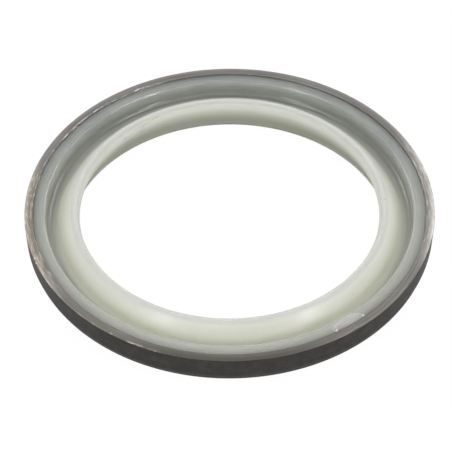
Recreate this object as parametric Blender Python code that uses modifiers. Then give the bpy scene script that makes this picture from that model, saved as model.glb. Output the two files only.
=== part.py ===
"""Metal-cased wiper seal ring: a turned steel case with a polyurethane lip bonded inside it.

The ring lies flat with its axis on Z and the open side of the case up.
Its origin is on the axis at the underside of the lip's skirt.
Both pieces are turned shapes, so each is one rounded section swept round the axis.
"""

import math

import bpy
from mathutils import Vector

# The whole ring
RING_RADIUS = 0.050          # outside of the case, which presses into a 100 mm housing
SECTION_WIDTH = 0.0133       # from the outside of the case to the wiping edge
SKIRT_DROP = 0.0049          # how far the lip's skirt hangs below the case
BOND_GAP = 0.0003            # clearance all along the joint of steel and polyurethane
SEGMENTS = 96                # facets round the ring

# The steel case is an L in section: a wall with a flange turned in at its foot
CASE_HEIGHT = 0.0068
CASE_WALL = 0.0021
CASE_EDGE_BREAK = 0.00015    # tiny rounding left on the turned edges
RIM_INNER_RADIUS = 0.0003    # the rim is eased more where the lip is moulded in
CASE_CORNER_RADIUS = 0.0005  # inside corner between the wall and the flange
FLANGE_THICKNESS = 0.0013
FLANGE_REACH = 0.0049        # how far the flange stands in from the inside of the wall
FLANGE_EDGE_RADIUS = 0.0002
LEAD_IN_LENGTH = 0.0015      # long shallow chamfer at the foot that starts the press fit
LEAD_IN_DEPTH = 0.0004

# The lip's shelf lies beside the case's rim, and its groove lets the lip flex
SHELF_RECESS = 0.00045       # the shelf starts this far below the rim of the case
SHELF_WIDTH = 0.0026
SHELF_FALL = 0.00016         # the shelf drains this much towards the groove
SHELF_RIM_RADIUS = 0.0003
SHELF_EDGE_RADIUS = 0.0005
GROOVE_DRAFT = 0.0001        # how far the groove's outer wall leans over its depth
GROOVE_CORNER_RADIUS = 0.0010
GROOVE_FLOOR_WIDTH = 0.0023
GROOVE_HEEL_RADIUS = 0.0028  # where the floor turns up into the flank
WEB_THICKNESS = 0.00085      # polyurethane between the groove's floor and the flange

# The moulded lip rises from the groove to a round nose, then turns down into the bore
NOSE_RECESS = 0.00047        # its crest stays this far below the rim of the case
NOSE_RADIUS = 0.00108
NOSE_SETBACK = 0.00022       # how far the nose stands back from the wiping edge
FLANK_HOLLOW = 0.00015       # how far the flank dips under a straight slope
FLANK_RADIUS = 0.015
WIPING_EDGE_DROP = 0.00258   # from the crest down to the narrowest part of the bore
WIPING_EDGE_RADIUS = 0.0022

# The skirt below the wiping edge opens out again, clear of the pin
SKIRT_LAND = 0.00175         # width of the foot that the ring stands on
SKIRT_DRAFT = 0.0005         # how far the outside of the skirt draws in towards its foot
SKIRT_OUTER_RADIUS = 0.0005
SKIRT_INNER_RADIUS = 0.0003

# Radii and heights that follow from those sizes
CASE_INNER_RADIUS = RING_RADIUS - CASE_WALL
FLANGE_BORE_RADIUS = CASE_INNER_RADIUS - FLANGE_REACH
WIPING_RADIUS = RING_RADIUS - SECTION_WIDTH
CASE_TOP_Z = SKIRT_DROP + CASE_HEIGHT
FLANGE_TOP_Z = SKIRT_DROP + FLANGE_THICKNESS

COLLECTION_NAME = "Wiper seal ring"


def fillet_points(before, corner, after, radius, steps):
    """Arc that rounds a corner, made smaller where a side is too short for it."""
    back, ahead = before - corner, after - corner
    half_angle = back.angle(ahead) / 2
    reach = min(radius / math.tan(half_angle), 0.45 * back.length, 0.45 * ahead.length)
    start = corner + back.normalized() * reach
    end = corner + ahead.normalized() * reach
    bisector = (back.normalized() + ahead.normalized()).normalized()
    centre = corner + bisector * (reach / math.cos(half_angle))
    turn = (start - centre).angle_signed(end - centre)
    return arc_points(centre, start, -turn, steps)


def arc_points(centre, start, turn, steps):
    """Points on a circle from start, through an anticlockwise turn."""
    spoke = start - centre
    angle = math.atan2(spoke.y, spoke.x)
    points = []
    for step in range(steps + 1):
        here = angle + turn * step / steps
        points.append(centre + spoke.length * Vector((math.cos(here), math.sin(here))))
    return points


def rounded_outline(corners):
    """Closed outline through corners of (place, fillet radius, steps), where 0 steps stay sharp."""
    outline = []
    for index, (place, radius, steps) in enumerate(corners):
        if steps == 0:
            outline.append(place)
            continue
        before = corners[index - 1][0]
        after = corners[(index + 1) % len(corners)][0]
        outline.extend(fillet_points(before, place, after, radius, steps))
    return outline


def touch_angle(point, centre, radius, side):
    """Angle on a circle where a straight line from a point outside just touches it."""
    away = point - centre
    return math.atan2(away.y, away.x) + side * math.acos(radius / away.length)


def case_section():
    """The L of the steel case, from its rim down the outside and back up the inside."""
    foot_z = SKIRT_DROP
    return rounded_outline([
        (Vector((RING_RADIUS, CASE_TOP_Z)), CASE_EDGE_BREAK, 2),
        (Vector((RING_RADIUS, foot_z + LEAD_IN_LENGTH)), 0, 0),
        (Vector((RING_RADIUS - LEAD_IN_DEPTH, foot_z)), CASE_EDGE_BREAK, 2),
        (Vector((FLANGE_BORE_RADIUS, foot_z)), FLANGE_EDGE_RADIUS, 2),
        (Vector((FLANGE_BORE_RADIUS, FLANGE_TOP_Z)), FLANGE_EDGE_RADIUS, 2),
        (Vector((CASE_INNER_RADIUS, FLANGE_TOP_Z)), CASE_CORNER_RADIUS, 3),
        (Vector((CASE_INNER_RADIUS, CASE_TOP_Z)), RIM_INNER_RADIUS, 3),
    ])


def nose_points(wiping_edge, bend):
    """The round nose, from where the bore's line leaves it to where the flank's line does."""
    radius = NOSE_RADIUS
    centre = Vector((WIPING_RADIUS + NOSE_SETBACK + radius, CASE_TOP_Z - NOSE_RECESS - radius))
    first = touch_angle(wiping_edge, centre, radius, side=-1)
    last = touch_angle(bend, centre, radius, side=1)
    start = centre + radius * Vector((math.cos(first), math.sin(first)))
    turn = (last - first) % math.tau - math.tau
    return arc_points(centre, start, turn, steps=9)


def lip_section():
    """The polyurethane: shelf, joint with the case, skirt, wiping edge, nose, flank and groove."""
    joint_radius = CASE_INNER_RADIUS - BOND_GAP
    joint_z = FLANGE_TOP_Z + BOND_GAP
    neck_radius = FLANGE_BORE_RADIUS - BOND_GAP
    skirt_radius = neck_radius - SKIRT_DRAFT
    crest_z = CASE_TOP_Z - NOSE_RECESS
    shelf_z = CASE_TOP_Z - SHELF_RECESS
    floor_z = joint_z + WEB_THICKNESS
    shelf_edge_radius = joint_radius - SHELF_WIDTH
    floor_radius = shelf_edge_radius - GROOVE_DRAFT

    wiping_edge = Vector((WIPING_RADIUS, crest_z - WIPING_EDGE_DROP))
    heel = Vector((floor_radius - GROOVE_FLOOR_WIDTH, floor_z))
    crest = Vector((WIPING_RADIUS + NOSE_SETBACK + NOSE_RADIUS, crest_z))
    bend = (crest + heel) / 2 - Vector((0, FLANK_HOLLOW))

    corners = [
        (Vector((joint_radius, shelf_z)), SHELF_RIM_RADIUS, 2),
        (Vector((joint_radius, joint_z)), CASE_CORNER_RADIUS - BOND_GAP, 2),
        (Vector((neck_radius, joint_z)), FLANGE_EDGE_RADIUS + BOND_GAP, 2),
        (Vector((neck_radius, SKIRT_DROP)), 0, 0),
        (Vector((skirt_radius, 0)), SKIRT_OUTER_RADIUS, 3),
        (Vector((skirt_radius - SKIRT_LAND, 0)), SKIRT_INNER_RADIUS, 2),
        (wiping_edge, WIPING_EDGE_RADIUS, 4),
    ]
    corners += [(place, 0, 0) for place in nose_points(wiping_edge, bend)]
    corners += [
        (bend, FLANK_RADIUS, 2),
        (heel, GROOVE_HEEL_RADIUS, 6),
        (Vector((floor_radius, floor_z)), GROOVE_CORNER_RADIUS, 4),
        (Vector((shelf_edge_radius, shelf_z - SHELF_FALL)), SHELF_EDGE_RADIUS, 5),
    ]
    return rounded_outline(corners)


def finish_material(name, color, metallic, roughness, subsurface=0.0):
    """A plain surface with one color."""
    material = bpy.data.materials.new(name)
    material.use_nodes = True
    material.diffuse_color = (*color, 1.0)
    shader = material.node_tree.nodes["Principled BSDF"]
    shader.inputs["Base Color"].default_value = (*color, 1.0)
    shader.inputs["Metallic"].default_value = metallic
    shader.inputs["Roughness"].default_value = roughness
    shader.inputs["Subsurface Weight"].default_value = subsurface
    return material


def turned_piece(name, section, material, collection):
    """A closed section swept round the Z axis."""
    mesh = bpy.data.meshes.new(name)
    count = len(section)
    edges = [(index, (index + 1) % count) for index in range(count)]
    mesh.from_pydata([(place.x, 0, place.y) for place in section], edges, [])
    mesh.materials.append(material)
    piece = bpy.data.objects.new(name, mesh)
    collection.objects.link(piece)

    screw = piece.modifiers.new("Turn", "SCREW")
    screw.axis = "Z"
    screw.angle = math.tau
    screw.steps = SEGMENTS
    screw.render_steps = SEGMENTS
    screw.use_merge_vertices = True
    screw.merge_threshold = 0.00001
    screw.use_smooth_shade = True
    piece.modifiers.new("Flat faces stay flat", "WEIGHTED_NORMAL")
    return piece


def clear_scene():
    """Start from an empty scene."""
    for leftover in list(bpy.data.objects):
        bpy.data.objects.remove(leftover, do_unlink=True)


def main():
    clear_scene()
    collection = bpy.data.collections.new(COLLECTION_NAME)
    bpy.context.scene.collection.children.link(collection)
    steel = finish_material("Dark turned steel", (0.20, 0.19, 0.18), metallic=1.0, roughness=0.45)
    cream = finish_material("Cream polyurethane", (0.68, 0.69, 0.58), metallic=0.0, roughness=0.35,
                            subsurface=0.3)
    turned_piece("steel_case", case_section(), steel, collection)
    turned_piece("polyurethane_lip", lip_section(), cream, collection)


main()
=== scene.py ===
# %% [markdown]
# # A metal-cased wiper seal ring
#
# This ring keeps dirt away from a machine pin. A turned steel case is pressed into the machine,
# and a translucent polyurethane lip, moulded into the case, wipes the pin. The solids of the
# part are the frame that everything has to fit, so the lesson starts by loading them. Nothing
# here moves or resizes them: we only build finer meshes and better surfaces in their place.

# %% Load the frame
import math

import bmesh
import bpy
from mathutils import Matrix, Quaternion, Vector


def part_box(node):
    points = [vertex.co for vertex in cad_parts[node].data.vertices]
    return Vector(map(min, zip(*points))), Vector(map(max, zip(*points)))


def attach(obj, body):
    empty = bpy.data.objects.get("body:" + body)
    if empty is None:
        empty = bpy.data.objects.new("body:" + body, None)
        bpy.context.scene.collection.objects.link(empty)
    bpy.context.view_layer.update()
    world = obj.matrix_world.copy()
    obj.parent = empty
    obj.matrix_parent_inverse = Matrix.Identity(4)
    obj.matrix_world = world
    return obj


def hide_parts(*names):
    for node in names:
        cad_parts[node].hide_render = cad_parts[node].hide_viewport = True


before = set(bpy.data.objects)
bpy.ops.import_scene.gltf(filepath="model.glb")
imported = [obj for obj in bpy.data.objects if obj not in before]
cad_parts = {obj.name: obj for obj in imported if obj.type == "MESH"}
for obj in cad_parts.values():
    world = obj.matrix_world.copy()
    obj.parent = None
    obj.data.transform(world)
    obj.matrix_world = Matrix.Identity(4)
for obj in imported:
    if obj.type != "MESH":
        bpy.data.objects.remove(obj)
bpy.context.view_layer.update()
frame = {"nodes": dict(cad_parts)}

print("solids loaded:", ", ".join(frame["nodes"]))

# %% [markdown]
# ## Measure the solids
#
# A ring is round about Z, so the largest X of a node is its outer radius. The heights come
# straight from the boxes. Each corner of the two sections below is measured from these few
# numbers, so the detailed ring fits the solids it stands for.

# %% Sizes read from the frame
case_low, case_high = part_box("steel_case")
lip_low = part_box("polyurethane_lip")[0]
MM = 0.001
RING_RADIUS = case_high[0]
RIM_Z = case_high[2]
CASE_FOOT_Z = case_low[2]
SKIRT_FOOT_Z = lip_low[2]
print(f"ring {2 * RING_RADIUS / MM:.1f} mm across, rim {RIM_Z / MM:.2f} mm up")
print(f"the foot of the case is {CASE_FOOT_Z / MM:.2f} mm up")

# %% [markdown]
# ## Drawing a turned shape by hand
#
# A lathe part is one outline, swept round its axis. In edit mode you would place one vertex,
# extrude it corner by corner along the section, close the loop, round the corners with a vertex
# bevel and divide the long sides. A Screw modifier then sweeps the outline a full turn and
# closes the seam by itself. The helpers below do just that. A vertex is picked by its place, as
# you would pick it with the mouse.

# %% Start an outline from one vertex
def draw_outline(name, places):
    """An outline in the XZ plane, extruded from one vertex through places of (radius, height)."""
    bpy.ops.object.select_all(action="DESELECT")
    bpy.ops.mesh.primitive_plane_add(size=MM, location=(0, 0, 0))
    piece = bpy.context.object
    piece.name = piece.data.name = name
    bpy.ops.object.mode_set(mode="EDIT")
    bpy.ops.mesh.select_mode(type="VERT")
    bpy.ops.mesh.select_all(action="SELECT")
    bpy.ops.mesh.merge(type="CENTER")
    bpy.ops.transform.translate(value=(places[0][0], 0, places[0][1]))
    here = Vector(places[0])
    for place in places[1:]:
        step = Vector(place) - here
        bpy.ops.mesh.extrude_vertices_move(TRANSFORM_OT_translate={"value": (step.x, 0, step.y)})
        here = Vector(place)
    bpy.ops.mesh.select_all(action="SELECT")
    bpy.ops.mesh.edge_face_add()
    bpy.ops.mesh.delete(type="ONLY_FACE")
    return piece


# %% Pick vertices by their place
def pick(piece, test):
    """Selects the vertices of the piece in edit mode that pass a test of their place."""
    bpy.ops.mesh.select_mode(type="VERT")
    bpy.ops.mesh.select_all(action="DESELECT")
    mesh = bmesh.from_edit_mesh(piece.data)
    for vertex in mesh.verts:
        vertex.select = test(vertex.co)
    mesh.select_flush(True)
    bmesh.update_edit_mesh(piece.data)
    return sum(vertex.select for vertex in mesh.verts)


# %% Round one corner of the outline
CLOSE = 0.01 * MM            # two points nearer than this count as one place


def round_corner(piece, places, index, radius, segments):
    """A vertex bevel whose offset gives the wanted radius at this corner."""
    corner = Vector(places[index])
    back = Vector(places[index - 1]) - corner
    ahead = Vector(places[(index + 1) % len(places)]) - corner
    reach = radius / math.tan(back.angle(ahead) / 2)
    spot = Vector((corner.x, 0, corner.y))
    pick(piece, lambda place: (place - spot).length < CLOSE)
    bpy.ops.mesh.bevel(affect="VERTICES", offset_type="OFFSET", offset=reach, segments=segments)


# %% Divide the long sides
def divide_sides(piece, longest):
    """Cuts each side of the outline into steps no longer than this."""
    while True:
        mesh = bmesh.from_edit_mesh(piece.data)
        length = max(edge.calc_length() for edge in mesh.edges)
        if length <= longest:
            return len(mesh.verts)
        bpy.ops.mesh.select_mode(type="EDGE")
        bpy.ops.mesh.select_all(action="DESELECT")
        mesh = bmesh.from_edit_mesh(piece.data)
        for edge in mesh.edges:
            edge.select = edge.calc_length() > longest
        bmesh.update_edit_mesh(piece.data)
        bpy.ops.mesh.subdivide(number_cuts=1)


# %% A whole section, and its turn round the axis
TURNS = 480
SEAM = CLOSE / 10            # the last profile is merged with the first within this distance
SHARP_ANGLE = math.radians(35)


def draw_section(name, corners, longest):
    """A section through corners of (place, radius, segments), where a radius of 0 stays sharp."""
    places = [place for place, radius, segments in corners]
    piece = draw_outline(name, places)
    for index, (place, radius, segments) in enumerate(corners):
        if radius > 0:
            round_corner(piece, places, index, radius, segments)
    print(f"{name}: {divide_sides(piece, longest)} points in the section")
    return piece


def turn_outline(piece, steps):
    """Sweeps the outline a full turn round Z, closes the seam and points every face outwards."""
    bpy.ops.object.mode_set(mode="OBJECT")
    bpy.ops.object.modifier_add(type="SCREW")
    screw = piece.modifiers[-1]
    screw.angle = math.tau
    screw.steps = screw.render_steps = steps
    screw.use_merge_vertices = True
    screw.merge_threshold = SEAM
    bpy.ops.object.modifier_apply(modifier=screw.name)
    bpy.ops.object.mode_set(mode="EDIT")
    bpy.ops.mesh.select_all(action="SELECT")
    bpy.ops.mesh.normals_make_consistent(inside=False)
    bpy.ops.object.mode_set(mode="OBJECT")
    bpy.ops.object.shade_smooth_by_angle(angle=SHARP_ANGLE)
    print(f"{piece.name}: {len(piece.data.polygons)} faces")


# %% [markdown]
# ## The steel case
#
# The case is an L in section: a wall whose flat rim shows as the grey ring, and a flange turned
# in at its foot that carries the polyurethane. Its foot has a long shallow chamfer, so that it
# starts into its housing straight. The turning tool leaves small roundings on the edges. Each
# corner below is its place, the radius of its rounding and the number of segments in it.

# %% The section of the case
CASE_WALL = 2.1 * MM
FLANGE_THICKNESS = 1.3 * MM
FLANGE_REACH = 4.9 * MM
LEAD_IN_LENGTH = 1.5 * MM
LEAD_IN_DEPTH = 0.4 * MM
EDGE_BREAK = 0.15 * MM
RIM_INNER_RADIUS = 0.3 * MM
CASE_CORNER_RADIUS = 0.5 * MM
STEEL_STEP = 0.5 * MM        # the longest side of a face along the section

wall_inside = RING_RADIUS - CASE_WALL
flange_bore = wall_inside - FLANGE_REACH
flange_top = CASE_FOOT_Z + FLANGE_THICKNESS
case_corners = (
    ((RING_RADIUS, RIM_Z), EDGE_BREAK, 4),
    ((RING_RADIUS, CASE_FOOT_Z + LEAD_IN_LENGTH), 0, 0),
    ((RING_RADIUS - LEAD_IN_DEPTH, CASE_FOOT_Z), EDGE_BREAK, 4),
    ((flange_bore, CASE_FOOT_Z), EDGE_BREAK, 4),
    ((flange_bore, flange_top), EDGE_BREAK, 4),
    ((wall_inside, flange_top), CASE_CORNER_RADIUS, 5),
    ((wall_inside, RIM_Z), RIM_INNER_RADIUS, 6),
)
steel_ring = draw_section("turned_steel_case", case_corners, STEEL_STEP)

# %% Turn the case
turn_outline(steel_ring, TURNS)

# %% [markdown]
# ## The polyurethane lip
#
# One moulding makes the whole seal: a shelf just below the rim, a groove that lets the lip flex,
# a hollow flank, a round nose, the wiping edge inside the bore and a skirt under it. The real
# moulding is bonded to the steel, so here its joint is nearly closed, where the solids keep a
# gap. The nose is a small circle, and the lines of the bore and the flank run into it.

# %% Heights and widths of the lip
BOND_LINE = 0.05 * MM
SOLID_GAP = 0.3 * MM         # the solids' joint, which the shelf and the skirt are measured from
SHELF_RECESS = 0.45 * MM
SHELF_FALL = 0.16 * MM
SHELF_WIDTH = 2.6 * MM
GROOVE_DRAFT = 0.1 * MM
GROOVE_FLOOR_WIDTH = 2.3 * MM
GROOVE_DEPTH = 4.35 * MM
SECTION_WIDTH = 13.3 * MM
NOSE_RECESS = 0.47 * MM
NOSE_SETBACK = 0.22 * MM
FLANK_HOLLOW = 0.15 * MM
WIPING_EDGE_DROP = 2.58 * MM
SKIRT_DRAFT = 0.5 * MM
SKIRT_LAND = 1.75 * MM

# %% Roundings of the lip
SHELF_RIM_RADIUS = 0.12 * MM
SHELF_EDGE_RADIUS = 0.45 * MM
GROOVE_CORNER_RADIUS = 1.2 * MM
GROOVE_HEEL_RADIUS = 2.8 * MM
FLANK_RADIUS = 15.0 * MM
NOSE_RADIUS = 1.08 * MM
WIPING_EDGE_RADIUS = 2.2 * MM
SKIRT_OUTER_RADIUS = 0.5 * MM
SKIRT_INNER_RADIUS = 0.3 * MM
CREAM_STEP = 0.6 * MM        # the longest side of a face along the section

# %% Main points of the section
joint_radius = wall_inside - BOND_LINE
shelf_z = RIM_Z - SHELF_RECESS
shelf_edge = wall_inside - SOLID_GAP - SHELF_WIDTH
groove_z = RIM_Z - GROOVE_DEPTH
groove_outside = shelf_edge - GROOVE_DRAFT
heel = Vector((groove_outside - GROOVE_FLOOR_WIDTH, groove_z))
wiping_radius = RING_RADIUS - SECTION_WIDTH
wiping_edge = Vector((wiping_radius, RIM_Z - NOSE_RECESS - WIPING_EDGE_DROP))
nose_centre = Vector((wiping_radius + NOSE_SETBACK + NOSE_RADIUS, RIM_Z - NOSE_RECESS - NOSE_RADIUS))
bend = (nose_centre + Vector((0, NOSE_RADIUS)) + heel) / 2 - Vector((0, FLANK_HOLLOW))
print(f"bore {2 * wiping_radius / MM:.1f} mm at the wiping edge")

# %% Where two lines that touch the nose would cross
def touching_line(point, side):
    """Direction from a point to where a straight line from it just touches the nose circle."""
    away = nose_centre - point
    swing = side * math.asin(NOSE_RADIUS / away.length)
    angle = math.atan2(away.y, away.x) + swing
    return Vector((math.cos(angle), math.sin(angle)))


def crossing(start, along, other, other_along):
    """The point where two lines cross."""
    gap = other - start
    turn = along.x * other_along.y - along.y * other_along.x
    return start + along * ((gap.x * other_along.y - gap.y * other_along.x) / turn)


bore_line = touching_line(wiping_edge, side=1)
flank_line = touching_line(bend, side=-1)
nose_tip = crossing(wiping_edge, bore_line, bend, flank_line)
print(f"the sharp tip before rounding is {(nose_tip.y - RIM_Z) / MM:.2f} mm above the rim")

# %% The section of the lip
neck = flange_bore - SOLID_GAP
skirt_outside = neck - SKIRT_DRAFT
lip_corners = (
    ((joint_radius, shelf_z), SHELF_RIM_RADIUS, 4),
    ((joint_radius, flange_top + BOND_LINE), CASE_CORNER_RADIUS - BOND_LINE, 4),
    ((flange_bore - BOND_LINE, flange_top + BOND_LINE), 0, 0),
    ((flange_bore - BOND_LINE, CASE_FOOT_Z), 0, 0),
    ((neck, CASE_FOOT_Z - BOND_LINE), 0, 0),
    ((skirt_outside, SKIRT_FOOT_Z), SKIRT_OUTER_RADIUS, 6),
    ((skirt_outside - SKIRT_LAND, SKIRT_FOOT_Z), SKIRT_INNER_RADIUS, 5),
    (tuple(wiping_edge), WIPING_EDGE_RADIUS, 8),
    (tuple(nose_tip), NOSE_RADIUS, 18),
    (tuple(bend), FLANK_RADIUS, 6),
    (tuple(heel), GROOVE_HEEL_RADIUS, 12),
    ((groove_outside, groove_z), GROOVE_CORNER_RADIUS, 10),
    ((shelf_edge, shelf_z - SHELF_FALL), SHELF_EDGE_RADIUS, 8),
)
cream_ring = draw_section("moulded_lip", lip_corners, CREAM_STEP)

# %% Turn the lip
turn_outline(cream_ring, TURNS)

# %% [markdown]
# ## Marks that the mould left
#
# The polyurethane is poured or injected at one place, and the gate is cut off flush. It leaves a
# shallow oval pad on the shelf, cut off straight by the steel. A painted mark would catch no light at
# its edge, so it is shaped: the faces there are divided finely, the oval is lifted with
# proportional editing, and its middle is let down again. That gives a pad with a soft shoulder
# and a slightly raised border.

# %% Lift the gate mark
GATE_AZIMUTH = math.radians(-55.2)
GATE_RADIUS = 47.35 * MM
GATE_HALF_LENGTH = 4.0 * MM
GATE_HALF_WIDTH = 2.30 * MM
GATE_HEIGHT = 0.27 * MM
GATE_DISH = 0.20 * MM
GATE_BORDER = 0.55 * MM
GATE_SHOULDER = 0.30 * MM
GATE_MARGIN = 0.9 * MM       # the faces are divided this far beyond the oval
SHELF_DEPTH = 1.0 * MM       # all of the shelf lies less than this below the rim


def in_gate(place, spare):
    """Whether a place on the shelf lies in the gate's oval, made larger by spare."""
    along = math.remainder(math.atan2(place.y, place.x) - GATE_AZIMUTH, math.tau) * GATE_RADIUS
    across = math.hypot(place.x, place.y) - GATE_RADIUS
    oval = (along / (GATE_HALF_LENGTH + spare)) ** 2 + (across / (GATE_HALF_WIDTH + spare)) ** 2
    return oval < 1 and place.z > RIM_Z - SHELF_DEPTH


def make_active(piece):
    """Selects one piece alone, as a click does."""
    bpy.ops.object.select_all(action="DESELECT")
    bpy.context.view_layer.objects.active = piece
    piece.select_set(True)


make_active(cream_ring)
bpy.ops.object.mode_set(mode="EDIT")
pick(cream_ring, lambda place: in_gate(place, GATE_MARGIN))
bpy.ops.mesh.subdivide(number_cuts=3)
for spare, rise in ((0.0, GATE_HEIGHT), (-GATE_BORDER, -GATE_DISH)):
    moved = pick(cream_ring, lambda place: in_gate(place, spare))
    bpy.ops.transform.translate(
        value=(0, 0, rise),
        use_proportional_edit=True,
        use_proportional_connected=True,
        proportional_edit_falloff="SMOOTH",
        proportional_size=GATE_SHOULDER,
    )
    print(f"gate mark: {moved} points moved by {rise / MM:.2f} mm")
bpy.ops.object.mode_set(mode="OBJECT")

# %% [markdown]
# ## Wear on the rim
#
# The rim of the case gets knocked and filed, so its edges aren't perfect circles. A Displace
# modifier with a cloudy texture pushes the edges in and out by a few hundredths of a millimetre.
# A vertex group keeps it to the two edges of the rim: the flat faces and the fit stay true.

# %% Find the two edges of the rim
OUTER_EDGE_WIDTH = 0.25 * MM
INNER_EDGE_WIDTH = 0.35 * MM
EDGE_DEPTH = 0.25 * MM


def on_rim_edge(place):
    """Whether a place lies on the outer or the inner edge of the rim."""
    out = math.hypot(place.x, place.y)
    near_outer = out > RING_RADIUS - OUTER_EDGE_WIDTH
    near_inner = out < wall_inside + INNER_EDGE_WIDTH
    return place.z > RIM_Z - EDGE_DEPTH and (near_outer or near_inner)


edge_points = [vertex.index for vertex in steel_ring.data.vertices if on_rim_edge(vertex.co)]
edge_group = steel_ring.vertex_groups.new(name="rim edges")
edge_group.add(edge_points, 1.0, "REPLACE")
print("points along the edges of the rim:", len(edge_points))

# %% Dent them
DENT_RANGE = 0.07 * MM       # from the deepest dent to the highest burr
DENT_SIZE = 0.9 * MM
DENT_LEVEL = 0.75            # cloud value that stays in place; lower ones are pushed in
dents = bpy.data.textures.new("rim dents", "CLOUDS")
dents.noise_scale = DENT_SIZE
dents.noise_depth = 3
make_active(steel_ring)
bpy.ops.object.modifier_add(type="DISPLACE")
dent = steel_ring.modifiers[-1]
dent.texture = dents
dent.texture_coords = "LOCAL"
dent.vertex_group = edge_group.name
dent.mid_level = DENT_LEVEL
dent.strength = DENT_RANGE
bpy.ops.object.modifier_apply(modifier=dent.name)
print(f"dents up to {DENT_LEVEL * DENT_RANGE / MM:.3f} mm deep")

# %% [markdown]
# ## Put the pieces on the frame
#
# Each fine piece stands for one solid, so it rides on the root body and hides that solid.

# %% Ride and replace
for piece, node, slot in (
    (steel_ring, "steel_case", "case_steel"),
    (cream_ring, "polyurethane_lip", "lip_polyurethane"),
):
    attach(piece, "root")
    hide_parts(node)
    print(piece.name, "stands for", node)

# %% [markdown]
# ## Finishes
#
# Both finishes are worked out from the place on the ring, so they need no picture and turn with
# it. On a turned part the useful places are the distance from the axis, the height, and the
# direction round the axis. Direction is kept as a pair (x, y) of unit length and not as an
# angle, because an angle jumps where the circle closes and the jump would show as a seam.

# %% Helpers that add and join shader nodes
def put(tree, kind, **settings):
    """Adds a node and sets its properties."""
    node = tree.nodes.new(kind)
    for name, value in settings.items():
        setattr(node, name, value)
    return node


def feed(tree, socket, value):
    """Gives a socket a plain value, or a wire from another node."""
    if isinstance(value, bpy.types.NodeSocket):
        tree.links.new(value, socket)
    else:
        socket.default_value = value


def set_sockets(node, values):
    """Gives plain values to the named sockets of a node."""
    for name, value in values.items():
        node.inputs[name].default_value = value


def calc(tree, operation, first, second=0.0, *more):
    """A sum on two numbers, then the same sum on its result and each further number."""
    node = put(tree, "ShaderNodeMath", operation=operation)
    feed(tree, node.inputs[0], first)
    feed(tree, node.inputs[1], second)
    total = node.outputs[0]
    for number in more:
        total = calc(tree, operation, total, number)
    return total


def fade(tree, value, start, end, low=0.0, high=1.0):
    """A smooth change from low to high while value goes from start to end."""
    node = put(tree, "ShaderNodeMapRange", interpolation_type="SMOOTHSTEP")
    for socket, setting in zip(node.inputs, (value, start, end, low, high)):
        feed(tree, socket, setting)
    return node.outputs[0]


def between(tree, value, rise, fall):
    """1 between two soft edges, which are pairs of values."""
    return calc(tree, "MULTIPLY", fade(tree, value, *rise), fade(tree, value, *fall))


def paint(tree, share, under, over):
    """Lays one color over another. A Mix node keeps its color sockets behind those for numbers."""
    node = put(tree, "ShaderNodeMix", data_type="RGBA")
    for index, setting in ((0, share), (6, under), (7, over)):
        feed(tree, node.inputs[index], setting)
    return node.outputs[2]


def speckle(tree, place, scale, detail=3.0, roughness=0.5):
    """Cloudy noise between 0 and 1."""
    node = put(tree, "ShaderNodeTexNoise")
    feed(tree, node.inputs["Vector"], place)
    set_sockets(node, {"Scale": scale, "Detail": detail, "Roughness": roughness})
    return node.outputs[0]


# %% Places on a turned piece
def ring_places(tree):
    """Object place, radius, height, and the x and y of the direction round the axis."""
    place = put(tree, "ShaderNodeTexCoord").outputs["Object"]
    apart = put(tree, "ShaderNodeSeparateXYZ")
    feed(tree, apart.inputs[0], place)
    x, y, height = apart.outputs
    squares = calc(tree, "ADD", calc(tree, "MULTIPLY", x, x), calc(tree, "MULTIPLY", y, y))
    radius = calc(tree, "SQRT", squares)
    return place, radius, height, calc(tree, "DIVIDE", x, radius), calc(tree, "DIVIDE", y, radius)


def along_ring(tree, across, way_x, way_y, around):
    """Coordinates that draw a noise out along the circles of the ring."""
    joined = put(tree, "ShaderNodeCombineXYZ")
    feed(tree, joined.inputs[0], across)
    feed(tree, joined.inputs[1], calc(tree, "MULTIPLY", way_x, around))
    feed(tree, joined.inputs[2], calc(tree, "MULTIPLY", way_y, around))
    return joined.outputs[0]


def towards(tree, way_x, way_y, azimuth, half_width, soft):
    """1 in the part of the ring around an azimuth, and 0 outside it, with soft ends. In degrees."""
    turn = math.radians(azimuth)
    east = calc(tree, "MULTIPLY", way_x, math.cos(turn))
    north = calc(tree, "MULTIPLY", way_y, math.sin(turn))
    closeness = calc(tree, "ADD", east, north)
    edge = math.cos(math.radians(half_width + soft))
    core = math.cos(math.radians(half_width))
    return fade(tree, closeness, edge, core)


def near_point(tree, place, point, reach):
    """1 at a point of the ring, fading to 0 at this distance from it."""
    gap = put(tree, "ShaderNodeVectorMath", operation="DISTANCE")
    feed(tree, gap.inputs[0], place)
    gap.inputs[1].default_value = point
    return fade(tree, gap.outputs["Value"], reach, reach / 3)


def ring_point(radius, azimuth, height):
    """A point given by its distance from the axis, its angle in radians and its height."""
    return radius * math.cos(azimuth), radius * math.sin(azimuth), height


def radii(start, end):
    """Two distances from the axis, given in millimetres."""
    return start * MM, end * MM


def drops(start, end):
    """Two heights, given in millimetres below the rim."""
    return RIM_Z - start * MM, RIM_Z - end * MM


def new_finish(name):
    """A material and its Principled shader."""
    material = bpy.data.materials.new(name)
    material.use_nodes = True
    return material, material.node_tree, material.node_tree.nodes["Principled BSDF"]


def add_relief(tree, shader, height, strength, distance):
    """Fine relief from a height."""
    relief = put(tree, "ShaderNodeBump")
    set_sockets(relief, {"Strength": strength, "Distance": distance})
    feed(tree, relief.inputs["Height"], height)
    feed(tree, shader.inputs["Normal"], relief.outputs[0])
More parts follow.
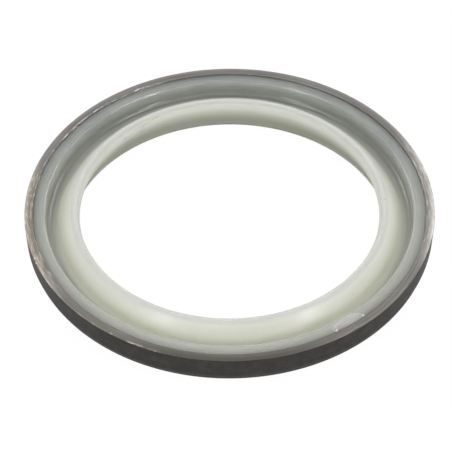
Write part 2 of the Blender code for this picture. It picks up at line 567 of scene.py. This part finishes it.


# %% [markdown]
# ## Cream polyurethane
#
# Cast polyurethane is translucent. Where it is thick, in the lip, light wanders about in it and
# comes back cream. Where it is a thin skin over the dark steel, on the shelf and in the groove,
# the steel swallows that light and it looks blue grey. So the color follows the place in the
# section, from the grey over the steel to the cream of the lip and the yellower skirt deep in
# the bore, which is also painted darker downwards as painted shade. Subsurface scattering does
# the rest.
#
# The greys over the steel are painted darker in the half towards +Y, and the grey is painted
# further up the flank there: that is painted shade on the far side, and painted light towards -Y.
# Each half is a mask made from the y of the direction, which goes from -1 on the camera's side
# to 1 on the far side.

# %% Places and halves of the lip
NEAR_HALF = (-0.1, -0.6)
FAR_HALF = (-0.4, 0.2)

lip_finish, tree, shader = new_finish("Cream polyurethane")
place, radius, height, way_x, way_y = ring_places(tree)
in_near_half = fade(tree, way_y, *NEAR_HALF)
in_far_half = fade(tree, way_y, *FAR_HALF)
print("places on the lip:", len(tree.nodes), "nodes so far")

# %% [markdown]
# The skin over the steel comes first. It is painted darker towards the edge of the shelf, which is
# painted shade, and dirt has seeped brown into the joint on one side. The pad of the gate is paler,
# because the knife roughened it, and each of its two ends, by the steel, has a nearly white
# painted highlight.

# %% Skin of the shelf
THIN_OVER_STEEL = (0.257, 0.278, 0.265, 1)
NEAR_SIDE_LIT_GREY = (0.335, 0.346, 0.305, 1)
SHELF_EDGE_SHADE_GREY = (0.240, 0.254, 0.235, 1)
BROWN_SEEP = (0.27, 0.235, 0.195, 1)
GATE_PALE = (0.50, 0.485, 0.48, 1)
GATE_END_HIGHLIGHT = (0.78, 0.78, 0.76, 1)
SHADE_TOWARDS_SHELF_EDGE = radii(46.9, 45.6)
NEAR_SIDE_LIGHTENS = (1.0, -1.0)
BESIDE_STEEL = radii(46.8, 47.8)
SEEP_ARC = (192.0, 14.0, 14.0)
SEEP_SHARE = 0.6
PAD_REACH = 5.5 * MM
PAD_SHARE = 0.75
GATE_HIGHLIGHT_ALONG = 0.95 * GATE_HALF_LENGTH
GATE_HIGHLIGHT_DROP = 0.3 * MM
GATE_HIGHLIGHT_REACH = 0.6 * MM

# painted shade: the grey over the steel is painted darker towards the edge of the shelf
shelf_grey_and_edge_shade = paint(tree, fade(tree, radius, *SHADE_TOWARDS_SHELF_EDGE), THIN_OVER_STEEL, SHELF_EDGE_SHADE_GREY)
# painted light and shade: the skin is painted lighter towards -Y, the camera's side, and darker
# towards +Y
skin = paint(tree, fade(tree, way_y, *NEAR_SIDE_LIGHTENS), shelf_grey_and_edge_shade, NEAR_SIDE_LIT_GREY)
in_seep = towards(tree, way_x, way_y, *SEEP_ARC)
seep = calc(tree, "MULTIPLY", in_seep, fade(tree, radius, *BESIDE_STEEL), SEEP_SHARE)
skin = paint(tree, seep, skin, BROWN_SEEP)
gate_spot = ring_point(GATE_RADIUS, GATE_AZIMUTH, RIM_Z)
in_pad = calc(tree, "MULTIPLY", near_point(tree, place, gate_spot, PAD_REACH), PAD_SHARE)
skin = paint(tree, in_pad, skin, GATE_PALE)
# painted highlights: a nearly white spot at each end of the gate's pad, by the steel
for end in (-1, 1):
    turn = GATE_AZIMUTH + end * GATE_HIGHLIGHT_ALONG / GATE_RADIUS
    highlight_spot = ring_point(joint_radius, turn, RIM_Z - GATE_HIGHLIGHT_DROP)
    skin = paint(tree, near_point(tree, place, highlight_spot, GATE_HIGHLIGHT_REACH), skin, GATE_END_HIGHLIGHT)
print("skin of the shelf:", len(tree.nodes), "nodes so far")

# %% Edge of the shelf and groove
GROOVE_GREY = (0.475, 0.480, 0.435, 1)
FAR_GROOVE_SHADE_GREY = (0.385, 0.400, 0.370, 1)
FAR_CORNER_SHADE_GREY = (0.290, 0.300, 0.275, 1)
FAR_EDGE_SHADE_GREY = (0.165, 0.178, 0.170, 1)
NEAR_EDGE_SHADE_GREY = (0.231, 0.241, 0.212, 1)
SHELF_EDGE_IN = radii(45.9, 45.5)
SHELF_EDGE_UP = drops(1.3, 0.95)
NEAR_EDGE_IN = radii(46.0, 45.4)
GROOVE_CORNER_DOWN = drops(3.4, 3.9)
GROOVE_CORNER_OUT = radii(43.2, 43.7)
UP_THE_WALL = drops(4.6, 1.2)
GROOVE_DARKENS = (-0.1, 0.9)

on_edge_arc = fade(tree, radius, *SHELF_EDGE_IN)
on_edge_arc = calc(tree, "MULTIPLY", on_edge_arc, fade(tree, height, *SHELF_EDGE_UP))
in_corner = fade(tree, height, *GROOVE_CORNER_DOWN)
in_corner = calc(tree, "MULTIPLY", in_corner, fade(tree, radius, *GROOVE_CORNER_OUT))
glossy_edge = calc(tree, "MULTIPLY", on_edge_arc, in_far_half)
glossy_corner = calc(tree, "MULTIPLY", in_corner, in_far_half)
# painted shade: the rounded edge of the shelf is painted darker in the half towards +Y
skin = paint(tree, glossy_edge, skin, FAR_EDGE_SHADE_GREY)
near_edge_shade = calc(tree, "MULTIPLY", fade(tree, radius, *NEAR_EDGE_IN), in_near_half)
# painted shade: the edge of the shelf is painted darker in the half towards -Y as well
skin = paint(tree, near_edge_shade, skin, NEAR_EDGE_SHADE_GREY)
# painted shade: the groove is painted darker towards +Y, and darker still at its corner there
groove_grey = paint(tree, fade(tree, way_y, *GROOVE_DARKENS), GROOVE_GREY, FAR_GROOVE_SHADE_GREY)
groove_grey = paint(tree, glossy_corner, groove_grey, FAR_CORNER_SHADE_GREY)
outer_grey = paint(tree, fade(tree, height, *UP_THE_WALL), groove_grey, skin)
print("edge of the shelf and groove:", len(tree.nodes), "nodes so far")

# %% [markdown]
# The flank is cream, and it turns grey where the groove begins. That change isn't a true circle:
# it leans towards -Y, and on the far side it climbs still higher, which is painted shade on the
# far half. Near the foot of the flank, the half towards -Y is painted lighter, which is painted
# light against the shade under the shelf's edge.

# %% Cream of the flank, and where it turns grey
CREAM = (0.645, 0.662, 0.597, 1)
DEEP_CREAM = (0.628, 0.636, 0.528, 1)
NEAR_FOOT_LIT_CREAM = (0.685, 0.695, 0.587, 1)
CREAM_DEEPENS = radii(39.4, 41.4)
FOOT_OF_FLANK = radii(41.5, 42.6)
CREAM_TO_GREY = radii(41.75, 43.15)
GREY_LEAN = 1.0 * MM
GREY_CLIMB = 1.1 * MM
CLIMB_FROM = (0.05, 0.45)

tone = paint(tree, fade(tree, radius, *CREAM_DEEPENS), CREAM, DEEP_CREAM)
# painted light: the foot of the flank is painted lighter in the half towards -Y, against the shade
# under the shelf's edge
near_foot_light = calc(tree, "MULTIPLY", fade(tree, radius, *FOOT_OF_FLANK), in_near_half)
tone = paint(tree, near_foot_light, tone, NEAR_FOOT_LIT_CREAM)
# painted shade: the grey reaches further up the flank towards +Y
lean = calc(tree, "MULTIPLY", way_y, GREY_LEAN)
leaned = calc(tree, "ADD", radius, lean, fade(tree, way_y, *CLIMB_FROM, 0.0, GREY_CLIMB))
tone = paint(tree, fade(tree, leaned, *CREAM_TO_GREY), tone, outer_grey)
print("flank:", len(tree.nodes), "nodes so far")

# %% Crest, bore, sides of the flank and skirt
CREST_SHADE_CREAM = (0.465, 0.475, 0.435, 1)
FAR_CREST_SHADE_CREAM = (0.432, 0.442, 0.405, 1)
BORE_CREAM = (0.705, 0.720, 0.645, 1)
SIDE_BORE_LIT_CREAM = (0.860, 0.872, 0.800, 1)
SIDE_FLANK_LIT_CREAM = (0.770, 0.785, 0.715, 1)
SKIRT_YELLOW_AND_SHADE = (0.415, 0.431, 0.334, 1)
CREST_DARKENS = (0.1, 0.8)
SQUARE_ON = (0.45, 0.10)
SQUARE_ON_SHARE = 0.5
UNDER_CREST = drops(0.6, 1.5)
DRAWN_IN_FROM = (0.0, 0.5)
DRAWN_IN = 0.8 * MM
INTO_THE_LIP = radii(39.6, 38.0)
SIDE_FROM_NEAR = (-0.75, -0.05)
SIDE_FROM_FAR = (0.45, 0.05)
FLANK_TOP_INSIDE = radii(38.5, 39.3)
FLANK_TOP_OUTSIDE = radii(41.0, 39.8)
SIDE_SHARE = 0.5
DOWN_THE_SKIRT = drops(2.2, 8.8)

# painted shade: the upward-facing crest is painted darker than the bore, and darker still towards +Y,
# where the inside colors also reach further out
crest = paint(tree, fade(tree, way_y, *CREST_DARKENS), CREST_SHADE_CREAM, FAR_CREST_SHADE_CREAM)
# painted light: the bore is painted lighter at the left and right sides of the ring
square_on = fade(tree, calc(tree, "ABSOLUTE", way_y), *SQUARE_ON, 0.0, SQUARE_ON_SHARE)
bore = paint(tree, square_on, BORE_CREAM, SIDE_BORE_LIT_CREAM)
inside_lip = paint(tree, fade(tree, height, *UNDER_CREST), crest, bore)
drawn_in = calc(tree, "SUBTRACT", radius, fade(tree, way_y, *DRAWN_IN_FROM, 0.0, DRAWN_IN))
tone = paint(tree, fade(tree, drawn_in, *INTO_THE_LIP), tone, inside_lip)
# painted light: the upper flank is painted lighter at the left and right sides of the ring
at_side = between(tree, way_y, SIDE_FROM_NEAR, SIDE_FROM_FAR)
upper_flank = between(tree, radius, FLANK_TOP_INSIDE, FLANK_TOP_OUTSIDE)
side_light_share = calc(tree, "MULTIPLY", upper_flank, at_side, SIDE_SHARE)
tone = paint(tree, side_light_share, tone, SIDE_FLANK_LIT_CREAM)
# yellower, and painted shade: the skirt is painted darker towards the bottom of the bore
tone = paint(tree, fade(tree, height, *DOWN_THE_SKIRT), tone, SKIRT_YELLOW_AND_SHADE)
print("whole section colored:", len(tree.nodes), "nodes so far")

# %% [markdown]
# The color also drifts a little from place to place, as in any casting. A few dark scratches run
# along the inside of the lip, and grit and specks of dirt stick to it. All are masks: a
# stretched noise for the scratches, kept to one stretch of the ring, a fine noise for the grit,
# and the distance from a point for each larger speck.

# %% Drift and scratches
DRIFT = (0.50, 0.50, 0.42, 1)
DIRT = (0.16, 0.155, 0.13, 1)
CLOUD_SCALE = 70.0
CLOUDS = (0.35, 0.75)
DRIFT_SHARE = 0.12
SCRATCH_LINES = 3200.0
SCRATCH_STRETCH = 7.0
SCRATCHES = (0.60, 0.68)
SCRATCH_ARC = (128.0, 9.0, 6.0)
INSIDE_CREST = radii(38.4, 37.8)
SCRATCH_SHARE = 0.7

cloud = speckle(tree, place, CLOUD_SCALE, detail=4.0)
tone = paint(tree, fade(tree, cloud, *CLOUDS, 0.0, DRIFT_SHARE), tone, DRIFT)
lines = calc(tree, "MULTIPLY", height, SCRATCH_LINES)
stretched = along_ring(tree, lines, way_x, way_y, SCRATCH_STRETCH)
scratches = fade(tree, speckle(tree, stretched, 1.0, detail=2.0), *SCRATCHES)
scratched = calc(tree, "MULTIPLY", scratches, towards(tree, way_x, way_y, *SCRATCH_ARC))
scratched = calc(tree, "MULTIPLY", scratched, fade(tree, radius, *INSIDE_CREST), SCRATCH_SHARE)
tone = paint(tree, scratched, tone, DIRT)
print("drift and scratches:", len(tree.nodes), "nodes so far")

# %% Grit and specks of dirt
GRIT_SCALE = 900.0
GRIT = (0.80, 0.84)
DIRT_SHARE = 0.5
SPECKS = (                   # azimuth in degrees, then radius, drop and reach in millimetres
    (0.6, 38.05, 0.47, 0.50),
    (142.0, 39.6, 2.0, 0.25),
    (-118.0, 40.3, 2.8, 0.22),
)

grit = speckle(tree, place, GRIT_SCALE, detail=1.0)
tone = paint(tree, fade(tree, grit, *GRIT, 0.0, DIRT_SHARE), tone, DIRT)
for azimuth, out, drop, reach in SPECKS:
    spot = ring_point(out * MM, math.radians(azimuth), RIM_Z - drop * MM)
    share = calc(tree, "MULTIPLY", near_point(tree, place, spot, reach * MM), DIRT_SHARE)
    tone = paint(tree, share, tone, DIRT)
feed(tree, shader.inputs["Base Color"], tone)
print(len(SPECKS), "specks placed")

# %% [markdown]
# The mould leaves the shelf and the groove glossy. The nose is trimmed with a blade after
# moulding, so it is matte. The gloss is a little uneven everywhere, from handling. The edge of
# the shelf and the corner of the groove were polished best in the mould and never get touched,
# so in the half towards +Y they draw the sharp thin glints, and the flank there is glossier too.

# %% Roughness of the lip
SMEAR_SCALE = 300.0
SMEARS = (0.2, 0.8)
MOULDED = (0.16, 0.24)
CORNER_SHARE = 0.6
POLISHED = 0.09
FLANK_TURNS_SATIN = radii(43.7, 42.7)
SATIN = 0.31
FLANK_FROM = radii(39.3, 40.1)
FAR_FLANK_FROM = (0.0, 0.45)
FAR_FLANK_SHARE = 0.62
TRIM_FROM = radii(39.8, 38.2)
TRIMMED = 0.35

gloss = fade(tree, speckle(tree, place, SMEAR_SCALE, detail=4.0), *SMEARS, *MOULDED)
sharp_gloss = calc(tree, "MAXIMUM", glossy_edge, calc(tree, "MULTIPLY", glossy_corner, CORNER_SHARE))
gloss = calc(tree, "SUBTRACT", gloss, calc(tree, "MULTIPLY", sharp_gloss, POLISHED))
far_flank = fade(tree, way_y, *FAR_FLANK_FROM, 0.0, FAR_FLANK_SHARE)
far_flank = calc(tree, "MULTIPLY", far_flank, fade(tree, radius, *FLANK_FROM))
satin_rise = fade(tree, radius, *FLANK_TURNS_SATIN, 0.0, SATIN)
satin_rise = calc(tree, "MULTIPLY", satin_rise, calc(tree, "SUBTRACT", 1.0, far_flank))
trimmed = fade(tree, radius, *TRIM_FROM, 0.0, TRIMMED)
feed(tree, shader.inputs["Roughness"], calc(tree, "ADD", gloss, satin_rise, trimmed))
print("roughness:", len(tree.nodes), "nodes so far")

# %% [markdown]
# The half towards -Y has been wiped by hand, which leaves a thin sheen over the matte lip. The
# coat of the shader stands for it. Deep in the bore hardly anything shines.

# %% Sheen and shine of the lip
WIPED_FROM = radii(41.8, 39.2)
WIPED = 0.37
BORE_DULLS = drops(2.5, 6.0)
BORE_SHINE = (0.5, 0.12)
GROOVE_SHINES = radii(40.5, 42.5)
FULL_SHINE = 0.5
POLISHED_SHINE = 0.6

wiped = calc(tree, "MULTIPLY", in_near_half, fade(tree, radius, *WIPED_FROM, 0.0, WIPED))
feed(tree, shader.inputs["Coat Weight"], wiped)
shine = fade(tree, height, *BORE_DULLS, *BORE_SHINE)
shine = calc(tree, "MAXIMUM", shine, fade(tree, radius, *GROOVE_SHINES, 0.0, FULL_SHINE))
shine = calc(tree, "ADD", shine, calc(tree, "MULTIPLY", sharp_gloss, POLISHED_SHINE))
feed(tree, shader.inputs["Specular IOR Level"], shine)
print("sheen and shine:", len(tree.nodes), "nodes so far")

# %% Depth and fine relief of the lip
GRAIN_SCALE = 2200.0
shader.subsurface_method = "RANDOM_WALK_SKIN"
set_sockets(shader, {
    "IOR": 1.5,
    "Coat Roughness": 0.23,
    "Subsurface Weight": 1.0,
    "Subsurface Radius": (1.0, 1.0, 0.9),
    "Subsurface Scale": 3.0 * MM,
    "Subsurface IOR": 1.5,
    "Subsurface Anisotropy": 0.6,
})
grain = speckle(tree, place, GRAIN_SCALE)
add_relief(tree, shader, grain, strength=0.06, distance=0.02 * MM)
cream_ring.data.materials.append(lip_finish)
print("lip finish:", len(tree.nodes), "nodes")

# %% [markdown]
# ## Turned steel with dark oxide
#
# The case is turned, and it keeps a dark, matte oxide on its outside. The rim has been faced
# after that, so bare steel shows there, with fine turned circles, brown tarnish in
# blotches, a film of old oil in long patches, and brighter rubbed marks where it has been
# handled most. Bare steel is a metal and oxide isn't, so one mask drives both the color and
# Metallic.

# %% Turned circles of the bare steel
BARE = (0.172, 0.167, 0.160, 1)
BRIGHT = (0.340, 0.330, 0.316, 1)
TURNED_DARK = (0.075, 0.070, 0.064, 1)
TURNED_LINES = 9000.0
TURNED_STRETCH = 3.0
BRIGHT_LINES = (0.35, 0.7)
BRIGHT_SHARE = 0.55
DARK_LINES = (0.62, 0.30)
DARK_SHARE = 0.5

steel_finish, tree, shader = new_finish("Turned steel with dark oxide")
place, radius, height, way_x, way_y = ring_places(tree)
along_section = calc(tree, "ADD", radius, height)
circles = calc(tree, "MULTIPLY", along_section, TURNED_LINES)
turned = speckle(tree, along_ring(tree, circles, way_x, way_y, TURNED_STRETCH), 1.0, detail=4.0)
bare = paint(tree, fade(tree, turned, *BRIGHT_LINES, 0.0, BRIGHT_SHARE), BARE, BRIGHT)
bare = paint(tree, fade(tree, turned, *DARK_LINES, 0.0, DARK_SHARE), bare, TURNED_DARK)
print("turned circles:", len(tree.nodes), "nodes so far")

# %% Oil film and tarnish
OLIVE_FILM = (0.150, 0.150, 0.115, 1)
TARNISH = (0.165, 0.135, 0.112, 1)
PATCH_LINES = 900.0
PATCH_STRETCH = 4.0
NEAREST_ARC = (-88.0, 20.0, 50.0)
FILM_PATCHES = (0.44, 0.60)
BROWN_PATCHES = (0.54, 0.38)
PATCH_SHARE = 0.6
BLOTCH_SCALE = 120.0
BLOTCHES = (0.45, 0.7)
BLOTCH_SHARE = 0.3

across = calc(tree, "MULTIPLY", radius, PATCH_LINES)
patches = speckle(tree, along_ring(tree, across, way_x, way_y, PATCH_STRETCH), 1.0, detail=2.0)
nearest = towards(tree, way_x, way_y, *NEAREST_ARC)
filmed = calc(tree, "MULTIPLY", nearest, fade(tree, patches, *FILM_PATCHES, 0.0, PATCH_SHARE))
bare = paint(tree, filmed, bare, OLIVE_FILM)
browned = calc(tree, "MULTIPLY", nearest, fade(tree, patches, *BROWN_PATCHES, 0.0, PATCH_SHARE))
blotch = speckle(tree, place, BLOTCH_SCALE, detail=5.0, roughness=0.6)
blotched = fade(tree, blotch, *BLOTCHES, 0.0, BLOTCH_SHARE)
bare = paint(tree, calc(tree, "MAXIMUM", browned, blotched), bare, TARNISH)
print("oil film and tarnish:", len(tree.nodes), "nodes so far")

# %% [markdown]
# The rim is painted brighter at its two sides, most of all along the outer edge, and a little on
# the far side: partly wear from hands, partly a painted reflection of the lamps behind. The outer
# part of the rim on the camera's side is painted darker, as painted shade. The underside was
# turned too, but nothing rubs it, so all rubbed marks are kept to the rim.

# %% Worn and lit parts of the rim
WORN_AND_REFLECTION = (0.49, 0.46, 0.435, 1)
BROWNED = (0.200, 0.172, 0.120, 1)
DARK_ARC = (-90.0, 10.0, 22.0)
DARK_OUT = radii(48.0, 49.6)
DARK_OUT_SHARES = (0.2, 0.8)
LEFT_ARC = (191.0, 11.0, 19.0)
RIGHT_ARC = (1.0, 6.0, 24.0)
WORN_AND_LIT_OUT = radii(48.7, 49.6)
LEFT_SHARES = (0.10, 0.70)
RIGHT_SHARES = (0.20, 0.85)
FAR_WORN_AND_LIT = (-0.1, 0.9)
FAR_OUT = radii(48.8, 49.5)
FAR_SHARE = 0.2
RIM_FROM = drops(1.4, 0.6)
BROWNED_SHARE = 0.5

# painted shade: the outer part of the rim on the camera's side is painted dark
nearest_rim_shade = fade(tree, radius, *DARK_OUT, *DARK_OUT_SHARES)
nearest_rim_shade = calc(tree, "MULTIPLY", towards(tree, way_x, way_y, *DARK_ARC), nearest_rim_shade)
bare = paint(tree, nearest_rim_shade, bare, TURNED_DARK)
at_left = towards(tree, way_x, way_y, *LEFT_ARC)
at_right = towards(tree, way_x, way_y, *RIGHT_ARC)
on_left = calc(tree, "MULTIPLY", at_left, fade(tree, radius, *WORN_AND_LIT_OUT, *LEFT_SHARES))
on_right = calc(tree, "MULTIPLY", at_right, fade(tree, radius, *WORN_AND_LIT_OUT, *RIGHT_SHARES))
on_far = fade(tree, way_y, *FAR_WORN_AND_LIT, 0.0, FAR_SHARE)
on_far = calc(tree, "MULTIPLY", fade(tree, radius, *FAR_OUT), on_far)
rim_only = fade(tree, height, *RIM_FROM)
# partly wear, partly a painted reflection: the two sides and the far part of the rim are painted
# brighter
worn_and_reflection = calc(tree, "MAXIMUM", on_left, on_right, on_far)
bare = paint(tree, calc(tree, "MULTIPLY", worn_and_reflection, rim_only), bare, WORN_AND_REFLECTION)
bare = paint(tree, calc(tree, "MULTIPLY", at_left, BROWNED_SHARE), bare, BROWNED)
print("handled parts:", len(tree.nodes), "nodes so far")

# %% [markdown]
# Rubbing leaves short bright strokes along the ring. They come from one stretched noise: where
# it is high, there is a stroke. Three masks say where strokes may be: all over the handled
# sides, along the outer edge, and along the inner edge, where the file or the tool slipped.

# %% Where the rim may be rubbed
OUTER_EDGE = (RING_RADIUS - 0.55 * MM, RING_RADIUS - 0.20 * MM)
INNER_EDGE = (wall_inside + 0.50 * MM, wall_inside + 0.25 * MM)
KNOCKED_ARC = (-120.0, 6.0, 10.0)
KNOCKED_SHARE = 0.6
SLIPPED_ARC = (146.0, 26.0, 14.0)
OUTER_SHARE = 0.75
INNER_SHARE = 0.9
SIDE_STROKES = 0.42

at_sides = calc(tree, "MAXIMUM", at_left, at_right)
knocked = calc(tree, "MULTIPLY", towards(tree, way_x, way_y, *KNOCKED_ARC), KNOCKED_SHARE)
worn_outside = calc(tree, "MAXIMUM", at_sides, knocked)
worn_inside = towards(tree, way_x, way_y, *SLIPPED_ARC)
on_outer = calc(tree, "MULTIPLY", fade(tree, radius, *OUTER_EDGE), worn_outside, OUTER_SHARE)
on_inner = calc(tree, "MULTIPLY", fade(tree, radius, *INNER_EDGE), worn_inside, INNER_SHARE)
at_edges = calc(tree, "MAXIMUM", on_outer, on_inner)
allowed = calc(tree, "MAXIMUM", at_edges, calc(tree, "MULTIPLY", at_sides, SIDE_STROKES))
print("places for strokes:", len(tree.nodes), "nodes so far")

# %% Rubbed strokes and nicks
RUBBED = (0.66, 0.63, 0.59, 1)
STROKE_LINES = 3000.0
STROKE_STRETCH = 15.0
STROKES = (0.51, 0.60)
NICK_SCALE = 900.0
NICKS = (0.60, 0.70)

across = calc(tree, "MULTIPLY", along_section, STROKE_LINES)
stretched = along_ring(tree, across, way_x, way_y, STROKE_STRETCH)
strokes = fade(tree, speckle(tree, stretched, 1.0, detail=5.0, roughness=0.6), *STROKES)
nicks = fade(tree, speckle(tree, place, NICK_SCALE), *NICKS)
long_strokes = calc(tree, "MULTIPLY", strokes, allowed)
short_nicks = calc(tree, "MULTIPLY", nicks, at_edges)
rubbed = calc(tree, "MULTIPLY", calc(tree, "MAXIMUM", long_strokes, short_nicks), rim_only)
bare = paint(tree, rubbed, bare, RUBBED)
print("bare steel with strokes:", len(tree.nodes), "nodes so far")

# %% Dark oxide of the outside, and where the rim begins
OXIDE = (0.0190, 0.0172, 0.0148, 1)
OXIDE_WORN = (0.033, 0.030, 0.026, 1)
SCUFF_SCALE = 400.0
SCUFFS = (0.42, 0.66)
RIM_WANDERS = 0.25 * MM
RIM_BEGINS = drops(0.04, -0.12)
INSIDE_FROM = (RING_RADIUS - 1.0 * MM, RING_RADIUS - 1.3 * MM)

scuffs = speckle(tree, place, SCUFF_SCALE, detail=6.0, roughness=0.65)
oxide = paint(tree, fade(tree, scuffs, *SCUFFS), OXIDE, OXIDE_WORN)
edge_height = calc(tree, "ADD", height, calc(tree, "MULTIPLY", blotch, RIM_WANDERS))
on_top = fade(tree, edge_height, *RIM_BEGINS)
on_rim = calc(tree, "MAXIMUM", on_top, fade(tree, radius, *INSIDE_FROM))
feed(tree, shader.inputs["Base Color"], paint(tree, on_rim, oxide, bare))
feed(tree, shader.inputs["Metallic"], on_rim)
print("oxide and rim:", len(tree.nodes), "nodes so far")

# %% Gloss and relief of the steel
LINES = (0.3, 0.7)
BARE_ROUGHNESS = (0.52, 0.36)
OXIDE_ROUGHER = 0.18

bare_gloss = fade(tree, turned, *LINES, *BARE_ROUGHNESS)
rougher = fade(tree, on_rim, 1.0, 0.0, 0.0, OXIDE_ROUGHER)
feed(tree, shader.inputs["Roughness"], calc(tree, "ADD", bare_gloss, rougher))
set_sockets(shader, {"Specular IOR Level": 0.3})
add_relief(tree, shader, turned, strength=0.3, distance=0.01 * MM)
steel_ring.data.materials.append(steel_finish)
print("steel finish:", len(tree.nodes), "nodes")

# %% [markdown]
# ## Floor and backdrop
#
# Small parts are often shot on white paper that melts into a white background. The paper is
# modelled as a plain floor, and the surroundings as a white world. Seen directly, or mirrored in
# the steel, both show as white. For the soft light that they throw on the ring they are greyer,
# so that the ring's own colors aren't washed out. The floor keeps a faint shadow of the ring.

# %% What shows the white background
def shows_background(tree):
    """1 for the camera and for mirrored or refracted views, 0 for soft light."""
    ray = put(tree, "ShaderNodeLightPath")
    bent = calc(tree, "MAXIMUM", ray.outputs["Is Glossy Ray"], ray.outputs["Is Transmission Ray"])
    return calc(tree, "MAXIMUM", ray.outputs["Is Camera Ray"], bent)


def blend(tree, share, first, second, output):
    """Mixes two shaders and wires the result to the surface of the output node."""
    mixed = put(tree, "ShaderNodeMixShader")
    feed(tree, mixed.inputs[0], share)
    feed(tree, mixed.inputs[1], first.outputs[0])
    feed(tree, mixed.inputs[2], second.outputs[0])
    feed(tree, tree.nodes[output].inputs["Surface"], mixed.outputs[0])


# %% A pale floor
PAPER = (1.0, 1.0, 1.0, 1)
PAPER_THROWS = (0.55, 0.55, 0.55, 1)
PAPER_GLOW = 1.02
SHADOW_SHARE = 0.06
FLOOR_SIZE = 2.0
FLOOR_CLEARANCE = 0.02 * MM

bpy.ops.object.select_all(action="DESELECT")
bpy.ops.mesh.primitive_plane_add(size=FLOOR_SIZE, location=(0, 0, SKIRT_FOOT_Z - FLOOR_CLEARANCE))
floor = bpy.context.object
floor.name = floor.data.name = "floor"
floor_finish, tree, shader = new_finish("Pale paper")
seen = shows_background(tree)
feed(tree, shader.inputs["Base Color"], paint(tree, seen, PAPER_THROWS, PAPER))
set_sockets(shader, {"Roughness": 0.9, "Specular IOR Level": 0.0})
glow = put(tree, "ShaderNodeEmission")
set_sockets(glow, {"Strength": PAPER_GLOW})
paper_share = calc(tree, "MULTIPLY", seen, 1.0 - SHADOW_SHARE)
blend(tree, paper_share, shader, glow, "Material Output")
floor.data.materials.append(floor_finish)
print(f"floor laid {(SKIRT_FOOT_Z - floor.location.z) / MM:.2f} mm under the skirt")

# %% White surroundings
SOFT_LIGHT = 0.466
WHITE = (1, 1, 1, 1)

world = bpy.data.worlds.new("White studio")
bpy.context.scene.world = world
world.use_nodes = True
tree = world.node_tree
ambient = tree.nodes["Background"]
set_sockets(ambient, {"Color": WHITE, "Strength": SOFT_LIGHT})
white = put(tree, "ShaderNodeBackground")
set_sockets(white, {"Color": WHITE})
blend(tree, shows_background(tree), ambient, white, "World Output")
print("soft light from all round:", SOFT_LIGHT)

# %% [markdown]
# ## Lamps
#
# The highlights on the lip tell where the lamps stood: two small softboxes in front, to the left
# and the right, two more nearly overhead, and two long ones behind. Each draws a thin bright line
# along the edge of the shelf, and the front ones a soft streak down the near lip. Wide panels
# give the rest of the light. The three that are closest are kept out of mirrored views, because
# such a wide lamp near the camera would lay a dull sheen on the lip.

# %% Softboxes and fill lamps
def softbox(name, azimuth, elevation, power, distance, width, height, mirrored=True):
    """A soft lamp aimed at the ring. Azimuth 0 is the camera's side and 90 is the right."""
    turn = math.radians(azimuth)
    rise = math.radians(elevation)
    flat = math.cos(rise)
    away = Vector((math.sin(turn) * flat, -math.cos(turn) * flat, math.sin(rise)))
    bpy.ops.object.select_all(action="DESELECT")
    bpy.ops.object.light_add(type="AREA", location=away * distance)
    lamp = bpy.context.object
    lamp.name = name
    lamp.data.shape = "RECTANGLE"
    lamp.data.size = width
    lamp.data.size_y = height
    lamp.data.energy = power
    lamp.rotation_euler = (-away).to_track_quat("-Z", "Y").to_euler()
    lamp.visible_glossy = mirrored
    print(f"{name}: {power} W")


SMALL_BOX = {"distance": 0.50, "width": 0.08, "height": 0.08}
LONG_BOX = {"distance": 0.60, "width": 0.22, "height": 0.03}
LOW_PANEL = {"distance": 0.80, "width": 0.50, "height": 0.25}
NEAR_PANEL = {"distance": 0.30, "width": 0.30, "height": 0.20, "mirrored": False}
SIDE_PANEL = {"distance": 0.30, "width": 0.20, "height": 0.20, "mirrored": False}

softbox("front left", azimuth=-42, elevation=31.5, power=0.46, **SMALL_BOX)
softbox("front right", azimuth=48, elevation=30.5, power=0.46, **SMALL_BOX)
softbox("top left", azimuth=-122, elevation=72, power=0.16, **SMALL_BOX)
softbox("top right", azimuth=123, elevation=70, power=0.18, **SMALL_BOX)
softbox("back left", azimuth=-139, elevation=39, power=0.31, **LONG_BOX)
softbox("back right", azimuth=141, elevation=38, power=0.31, **LONG_BOX)
softbox("low fill", azimuth=0, elevation=18, power=0.15, **LOW_PANEL)
softbox("near fill", azimuth=0, elevation=45, power=0.170, **NEAR_PANEL)
softbox("left fill", azimuth=-90, elevation=32, power=0.055, **SIDE_PANEL)
softbox("right fill", azimuth=90, elevation=32, power=0.055, **SIDE_PANEL)

# %% [markdown]
# ## Camera
#
# A long lens from a third of a metre away, 45 degrees above the rim, as for a catalogue picture.
# It aims a little in front of the axis, so that the ring sits in the middle of the picture, and
# it is turned by half a degree, which tilts the ring as a hand-held camera does.

# %% Camera
VIEW_ELEVATION = math.radians(45.17)
VIEW_DISTANCE = 350 * MM
LENS = 113.9
ROLL = math.radians(-0.5)
AIM = Vector((-0.86 * MM, -8.70 * MM, RIM_Z))

bpy.ops.object.camera_add()
camera = bpy.context.object
camera.name = "camera"
camera.data.lens = LENS
toward_camera = Vector((0, -math.cos(VIEW_ELEVATION), math.sin(VIEW_ELEVATION)))
camera.location = Vector((0, 0, RIM_Z)) + toward_camera * VIEW_DISTANCE
look = (AIM - camera.location).to_track_quat("-Z", "Y")
camera.rotation_mode = "QUATERNION"
camera.rotation_quaternion = look @ Quaternion((0, 0, 1), ROLL)
bpy.context.scene.camera = camera
bpy.context.scene.view_settings.view_transform = "Standard"
print(f"camera {VIEW_DISTANCE / MM:.0f} mm away with a {camera.data.lens:.1f} mm lens")
